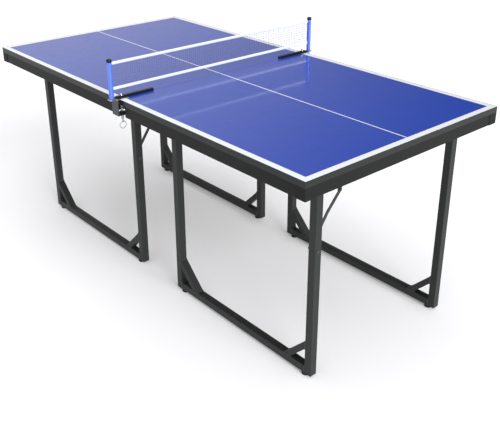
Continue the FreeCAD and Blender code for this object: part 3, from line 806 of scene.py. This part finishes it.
def stitchTree():
    graph, size = newGrowth("StitchTree", {
        "Pitch": "Float", "Thread": "Float", "Stitch": "Float", "Yarn": "Material"})
    curve = graph.node("GeometryNodeMeshToCurve", values={"Mesh": size["Geometry"]})
    spots = graph.node("GeometryNodeResampleCurve", {"mode": "LENGTH"},
                       {"Curve": curve, "Length": size["Pitch"]})
    tangent = graph.node("GeometryNodeInputTangent")
    aim = graph.node("FunctionNodeAlignRotationToVector", {"axis": "Z"}, {"Vector": tangent})
    bead = graph.node("GeometryNodeMeshUVSphere", values={"Segments": 6, "Rings": 4, "Radius": 0.5})
    shape = graph.node("GeometryNodeTransform", values={
        "Geometry": bead, "Scale": graph.vector(size["Thread"] * 2, size["Thread"] * 2, size["Stitch"])})
    sewn = graph.node("GeometryNodeInstanceOnPoints",
                      values={"Points": spots, "Instance": shape, "Rotation": aim})
    return endGrowth(graph, [sewn], size["Yarn"])


def makeStitching():
    look = stitching
    inset = look["inset"]
    reach = topTapeHigh.y - look["endGap"]
    rows = []
    for face in (-1, 1):
        tapeFace = face * topTapeHigh.x
        for level in (topTapeLow.z + inset, bottomTapeLow.z + inset, bottomTapeHigh.z - inset):
            rows.append([(tapeFace, -reach, level), (tapeFace, reach, level)])
    sizes = {"Pitch": look["Pitch"], "Thread": look["Thread"], "Stitch": look["Stitch"], "Yarn": stitchThread}
    mesh = grow("netStitching", stitchTree(), sizes, rows)
    placePiece("netStitching", mesh, stitchThread, "table")


makeFoldedTape("topTapeFolded", topTapeLow, topTapeHigh, True, "top_tape")
makeFoldedTape("bottomTapeFolded", bottomTapeLow, bottomTapeHigh, False, "bottom_tape")
makeNetting()
makeStitching()
print("net made")


# weld beads where the floor rail and the gussets meet the legs

weldBead = {
    "Pitch": 0.0024,
    "Bead": 0.0021,
    "smallest": 0.82,     # share of a bead's size
    "largest": 1.12,
    "seed": 4,
    "tube": 0.028,
    "gussetShare": 0.31,  # of a gusset's climb, what its cut end takes up on the leg and on the rail
}


def beadTree():
    graph, size = newGrowth("WeldTree", {"Pitch": "Float", "Bead": "Float", "Coat": "Material"})
    curve = graph.node("GeometryNodeMeshToCurve", values={"Mesh": size["Geometry"]})
    spots = graph.node("GeometryNodeResampleCurve", {"mode": "LENGTH"},
                       {"Curve": curve, "Length": size["Pitch"]})
    drop = graph.node("GeometryNodeMeshIcoSphere", values={"Radius": size["Bead"], "Subdivisions": 2})
    spread = graph.node("FunctionNodeRandomValue", {"data_type": "FLOAT"}, {
        2: weldBead["smallest"], 3: weldBead["largest"], "Seed": weldBead["seed"]}, 1)
    laid = graph.node("GeometryNodeInstanceOnPoints",
                      values={"Points": spots, "Instance": drop, "Scale": spread})
    return endGrowth(graph, [laid], size["Coat"])


def weldRuns(legs, gussets):
    # three-sided runs round the rail's ends and four-sided ones round the gussets' ends
    look = weldBead
    legLow, legHigh = legs
    gussetLow, gussetHigh = gussets
    railLow, railTop = legLow.z, gussetLow.z
    runs = []
    for face, inward in ((legLow.x + look["tube"], 1), (legHigh.x - look["tube"], -1)):
        runs.append([(face, legLow.y, railLow), (face, legLow.y, railTop),
                     (face, legHigh.y, railTop), (face, legHigh.y, railLow)])
        upper = gussetHigh.z
        lower = upper - (upper - railTop) * look["gussetShare"]
        runs.append([(face, gussetLow.y, lower), (face, gussetLow.y, upper), (face, gussetHigh.y, upper),
                     (face, gussetHigh.y, lower), (face, gussetLow.y, lower)])
        far = face + inward * (upper - railTop)
        near = face + inward * (lower - railTop)
        runs.append([(near, gussetLow.y, railTop), (far, gussetLow.y, railTop), (far, gussetHigh.y, railTop),
                     (near, gussetHigh.y, railTop), (near, gussetLow.y, railTop)])
    return runs


def makeWelds():
    tree = beadTree()
    sizes = {"Pitch": weldBead["Pitch"], "Bead": weldBead["Bead"], "Coat": weldFinish}
    for place in ("near_left", "near_right", "far_left", "far_right"):
        runs = weldRuns(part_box(place + "_legs"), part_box(place + "_gussets"))
        name = place + "_weld_beads"
        placePiece(name, grow(name, tree, sizes, runs), weldFinish, place + "_leg_frame")


makeWelds()
print("welds made")


# the thread on each clamp screw, between its eye and the clamp's lower jaw

screwThread = {
    "Radius": 0.0041,
    "Ridge": 0.00042,
    "Pitch": 0.00125,
    "pointsPerTurn": 20,
    "sides": 4,           # of the ridge's section
    "aboveEye": 0.013,    # from the screw's lowest point to the first turn
    "belowJaw": 0.0012,   # from the last turn to the clamp's underside
}


def threadTree():
    graph, size = newGrowth("ThreadTree", {
        "Radius": "Float", "Ridge": "Float", "Turns": "Float", "Rise": "Float", "Place": "Vector",
        "Steel": "Material"})
    spiral = graph.node("GeometryNodeCurveSpiral", values={
        "Resolution": screwThread["pointsPerTurn"], "Rotations": size["Turns"],
        "Start Radius": size["Radius"], "End Radius": size["Radius"], "Height": size["Rise"]})
    placed = graph.node("GeometryNodeTransform", values={"Geometry": spiral, "Translation": size["Place"]})
    profile = graph.node("GeometryNodeCurvePrimitiveCircle",
                         values={"Resolution": screwThread["sides"], "Radius": size["Ridge"]})
    ridge = graph.node("GeometryNodeCurveToMesh",
                       values={"Curve": placed, "Profile Curve": profile, "Fill Caps": True})
    return endGrowth(graph, [ridge], size["Steel"])


def makeThreads():
    look = screwThread
    tree = threadTree()
    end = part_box("clamp_bodies")[0].z - look["belowJaw"]
    for side in ("near", "far"):
        padLow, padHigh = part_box(side + "_clamp_pad")
        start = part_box(side + "_clamp_screw")[0].z + look["aboveEye"]
        rise = end - start
        sizes = {
            "Radius": look["Radius"], "Ridge": look["Ridge"], "Turns": rise / look["Pitch"], "Rise": rise,
            "Place": (0.0, (padLow.y + padHigh.y) / 2, start), "Steel": finishes["bright_metal"],
        }
        name = side + "_screw_thread"
        placePiece(name, grow(name, tree, sizes), finishes["bright_metal"], side + "_clamp_screw_body")


makeThreads()
print("clamp threads made")


# floor, light and camera

studio = {
    "floorSize": 40.0,
    "floor": tint(228, 228, 230),
    "floorShade": tint(222, 222, 225),
    "floorGlow": 0.2,      # the floor is lit a little from below, so that shadows stay pale
    "cloudScale": 0.9,
    "sideLight": 0.76,     # brightness of the room to the left and right of the table
    "rightShare": 0.8,     # of the left side's brightness
    "backLight": 0.05,
    "ceiling": 0.7,
    "backdrop": 1.0,
    # where each light begins and where it is full, by how far the view leans towards it
    "leftFade": (0.46, 0.98),
    "rightFade": (0.3, 0.95),
    "ceilingFade": (0.55, 0.9),
}


def makeFloor():
    half = studio["floorSize"] / 2
    mesh = bpy.data.meshes.new("studioFloor")
    corners = [(-half, -half, 0), (half, -half, 0), (half, half, 0), (-half, half, 0)]
    mesh.from_pydata(corners, [], [(0, 1, 2, 3)])
    floor = bpy.data.objects.new("studioFloor", mesh)
    bpy.context.scene.collection.objects.link(floor)
    paper = Finish("PaleStudioFloor", Specular_IOR_Level=0.1, Emission_Color=(1.0, 1.0, 1.0, 1.0),
                   Emission_Strength=studio["floorGlow"])
    paper.colour(paper.blend(studio["floor"], studio["floorShade"], paper.grain(studio["cloudScale"], 3.0)))
    paper.varies("Roughness", 0.85 + paper.grain(30.0) * 0.1)
    # seen from underneath the floor is clear, so that the underside of the table can be looked at
    behind = paper.node("ShaderNodeNewGeometry", out="Backfacing")
    clear = paper.node("ShaderNodeBsdfTransparent")
    solid = Field(paper, paper.shader.outputs[0])
    shown = paper.node("ShaderNodeMixShader", values={0: behind, 1: solid, 2: clear})
    paper.node("ShaderNodeOutputMaterial", {"is_active_output": True}, {"Surface": shown})
    mesh.materials.append(paper.material)


def makeRoomLight():
    # a white room that is brighter to the left and right than behind, and plain white where it is seen
    world = bpy.data.worlds.new("StudioRoom")
    world.use_nodes = True
    bpy.context.scene.world = world
    room = Graph(world.node_tree)
    glow = world.node_tree.nodes["Background"]
    direction = room.node("ShaderNodeTexCoord", out="Generated")
    sideways, _, upward = room.axes(direction)
    left = (0 - sideways).rise(*studio["leftFade"])
    side = left.larger(sideways.rise(*studio["rightFade"]) * studio["rightShare"])
    level = studio["backLight"] + side * (studio["sideLight"] - studio["backLight"])
    high = upward.rise(*studio["ceilingFade"])
    level = level * (1 - high) + high * studio["ceiling"]
    seen = room.node("ShaderNodeLightPath", out="Is Camera Ray")
    level = level * (1 - seen) + seen * studio["backdrop"]
    glow.inputs["Color"].default_value = (1.0, 1.0, 1.0, 1.0)
    world.node_tree.links.new(level.socket, glow.inputs["Strength"])


softLights = {
    # where it shines from, how wide it is in degrees, strength
    "overhead": ((0.25, -0.2, 1.0), 85.0, 1.3),
    "rightKey": ((1.0, -0.1, 0.4), 40.0, 3.3),
}


def makeSoftLights():
    for name, (place, width, strength) in softLights.items():
        light = bpy.data.lights.new(name, "SUN")
        light.angle = math.radians(width)
        light.energy = strength
        lamp = bpy.data.objects.new(name, light)
        lamp.location = place
        lamp.rotation_euler = Vector(place).to_track_quat("Z", "Y").to_euler()
        bpy.context.scene.collection.objects.link(lamp)


viewpoint = {
    "place": (2.1745, -1.7633, 1.6175),
    "turn": 48.6,        # degrees from straight down the Y axis, towards the left end
    "tilt": 23.75,       # degrees below the horizon
    "lens": 54.5,
    "sensor": 36.0,
    "shiftUp": -0.1,
}


def makeCamera():
    data = bpy.data.cameras.new("studioCamera")
    data.lens = viewpoint["lens"]
    data.sensor_width = viewpoint["sensor"]
    data.shift_y = viewpoint["shiftUp"]
    data.clip_start = 0.05
    data.clip_end = 200.0
    camera = bpy.data.objects.new("studioCamera", data)
    camera.location = viewpoint["place"]
    camera.rotation_euler = (math.radians(90 - viewpoint["tilt"]), 0.0, math.radians(viewpoint["turn"]))
    bpy.context.scene.collection.objects.link(camera)
    bpy.context.scene.camera = camera


makeFloor()
makeRoomLight()
makeSoftLights()
makeCamera()
bpy.context.scene.view_settings.view_transform = "Standard"
print("studio ready")
